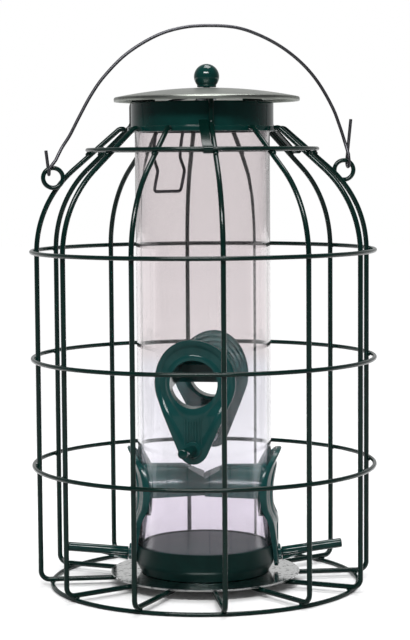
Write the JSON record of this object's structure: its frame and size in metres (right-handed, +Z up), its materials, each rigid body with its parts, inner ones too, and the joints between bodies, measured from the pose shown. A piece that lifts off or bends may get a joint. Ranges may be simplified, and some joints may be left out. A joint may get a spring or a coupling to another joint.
{
  "type": "caged bird feeder",
  "caption": "Hanging seed feeder: a clear tube with hooded feeding ports and perches, inside a domed wire cage that keeps squirrels out, with a lift-off lid and a wire bail.",
  "frame": {"origin": "on the seed tube's axis, at the level of the floor ring's underside", "axes": "+Z up along the seed tube; -Y towards the front, where an upper port faces, turned slightly to -X"},
  "size_m": [0.178, 0.178, 0.2878],
  "materials": {
    "cage_coating": "gloss dark green coating on steel wire",
    "green_plastic": "glossy moulded dark green plastic",
    "clear_plastic": "clear extruded plastic",
    "sheet_metal": "pressed bare sheet metal, satin",
    "bail_wire": "bare drawn wire",
    "fastener_steel": "plated fasteners and spring wire"
  },
  "bodies": {
    "caged_tube": {"cage_rib_01": "cage_coating", "cage_rib_02": "cage_coating", "cage_rib_03": "cage_coating", "cage_rib_04": "cage_coating", "cage_rib_05": "cage_coating", "cage_rib_06": "cage_coating", "cage_rib_07": "cage_coating", "cage_rib_08": "cage_coating", "cage_rib_09": "cage_coating", "cage_rib_10": "cage_coating", "cage_rib_11": "cage_coating", "cage_rib_12": "cage_coating", "floor_ring": "cage_coating", "lower_ring": "cage_coating", "middle_ring": "cage_coating", "shoulder_ring": "cage_coating", "top_ring": "cage_coating", "dome_tab_1": "cage_coating", "dome_tab_2": "cage_coating", "dome_tab_3": "cage_coating", "bail_eye_right": "cage_coating", "bail_eye_left": "cage_coating", "floor_disc": "sheet_metal", "base_dish": "green_plastic", "base_screw": "fastener_steel", "seed_tube": "clear_plastic", "neck_collar": "green_plastic", "upper_front_port": "green_plastic", "upper_rear_port": "green_plastic", "lower_right_port": "green_plastic", "lower_left_port": "green_plastic", "upper_front_perch": "green_plastic", "upper_rear_perch": "green_plastic", "lower_right_perch": "green_plastic", "lower_left_perch": "green_plastic", "upper_front_perch_nut": "fastener_steel", "upper_rear_perch_nut": "fastener_steel", "lower_right_perch_nut": "fastener_steel", "lower_left_perch_nut": "fastener_steel"},
    "lid_group": {"lid": "sheet_metal", "lid_knob": "green_plastic", "lid_screw": "fastener_steel", "lid_washer": "fastener_steel", "lid_catch_wire": "fastener_steel"},
    "bail": {"bail_handle": "bail_wire"}
  },
  "joints": [
    {"name": "bail_swing", "type": "hinge", "parent": "caged_tube", "child": "bail", "pos_m": [-0.00123, -0.00019, 0.2163], "axis": [0.9883, 0.1516, 0.0187], "range_deg": [-86, 86]},
    {"name": "lid_lift", "type": "slide", "parent": "caged_tube", "child": "lid_group", "axis": [0, 0, 1], "range_m": [0, 0.012]}
  ]
}
